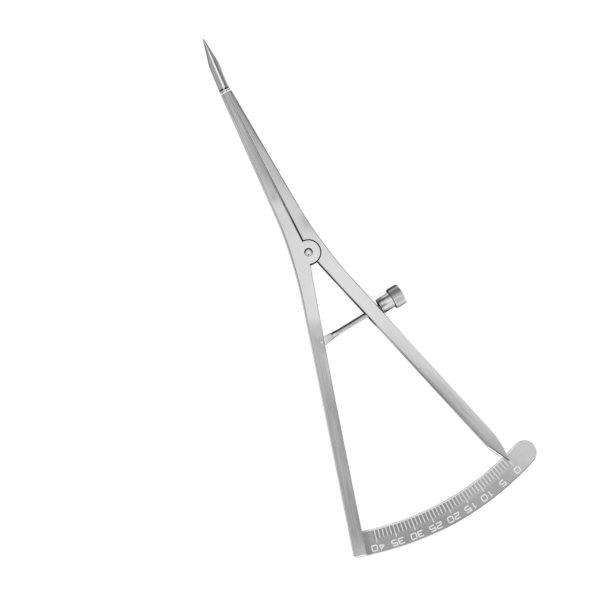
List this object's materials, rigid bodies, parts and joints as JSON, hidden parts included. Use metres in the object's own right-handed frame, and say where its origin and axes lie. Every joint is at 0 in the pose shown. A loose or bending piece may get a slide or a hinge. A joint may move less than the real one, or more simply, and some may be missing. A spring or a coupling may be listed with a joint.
{
  "type": "surgical caliper",
  "caption": "Surgical caliper with bent points, riveted flat arms, an arc scale fixed to one handle, a pointer on the other, and a hinged screw with a knurled thumb nut that sets the opening.",
  "frame": {"origin": "pivot axis of the arms, at the back faces of the arms", "axes": "+Y from the pivot along the seam towards the points, +Z along the pivot axis out of the front with the scale's marks, +X towards the side of the pointer arm and the thumb nut"},
  "size_m": [0.068, 0.174, 0.0125],
  "materials": {
    "arm_steel": "satin, fine lengthwise grain",
    "scale_steel": "matt satin with pale engraved marks",
    "rivet_steel": "polished",
    "screw_steel": "bright turned",
    "nut_steel": "polished, straight knurl"
  },
  "bodies": {
    "scale_arm": {"scale_arm": "arm_steel", "scale_plate": "scale_steel", "pivot_rivet": "rivet_steel", "screw_hinge_pin": "rivet_steel"},
    "pointer_arm": {"pointer_arm": "arm_steel"},
    "adjusting_screw": {"adjusting_screw": "screw_steel"},
    "thrust_washer": {"thrust_washer": "screw_steel"},
    "thumb_nut": {"thumb_nut": "nut_steel"}
  },
  "joints": [
    {"name": "arm_pivot", "type": "hinge", "parent": "scale_arm", "child": "pointer_arm", "pos_m": [0, 0, 0.0018], "axis": [0, 0, -1], "range_deg": [0, 30.76]},
    {"name": "screw_swing", "type": "hinge", "parent": "scale_arm", "child": "adjusting_screw", "pos_m": [-0.00938, -0.02759, 0.0018], "axis": [0, 0, -1], "range_deg": [0, 12.9]},
    {"name": "nut_travel", "type": "slide", "parent": "adjusting_screw", "child": "thrust_washer", "axis": [-0.9969, -0.0785, 0], "range_m": [0, 0.01525]},
    {"name": "nut_spin", "type": "hinge", "parent": "thrust_washer", "child": "thumb_nut", "pos_m": [0.01684, -0.02552, 0.0018], "axis": [-0.9969, -0.0785, 0], "range_deg": [0, 13720]}
  ],
  "couplings": [
    {"joint": "screw_swing", "follows": "arm_pivot", "ratio": 0.41932},
    {"joint": "nut_travel", "follows": "arm_pivot", "m_per_rad": 0.028387},
    {"joint": "nut_spin", "follows": "arm_pivot", "ratio": 445.9}
  ]
}
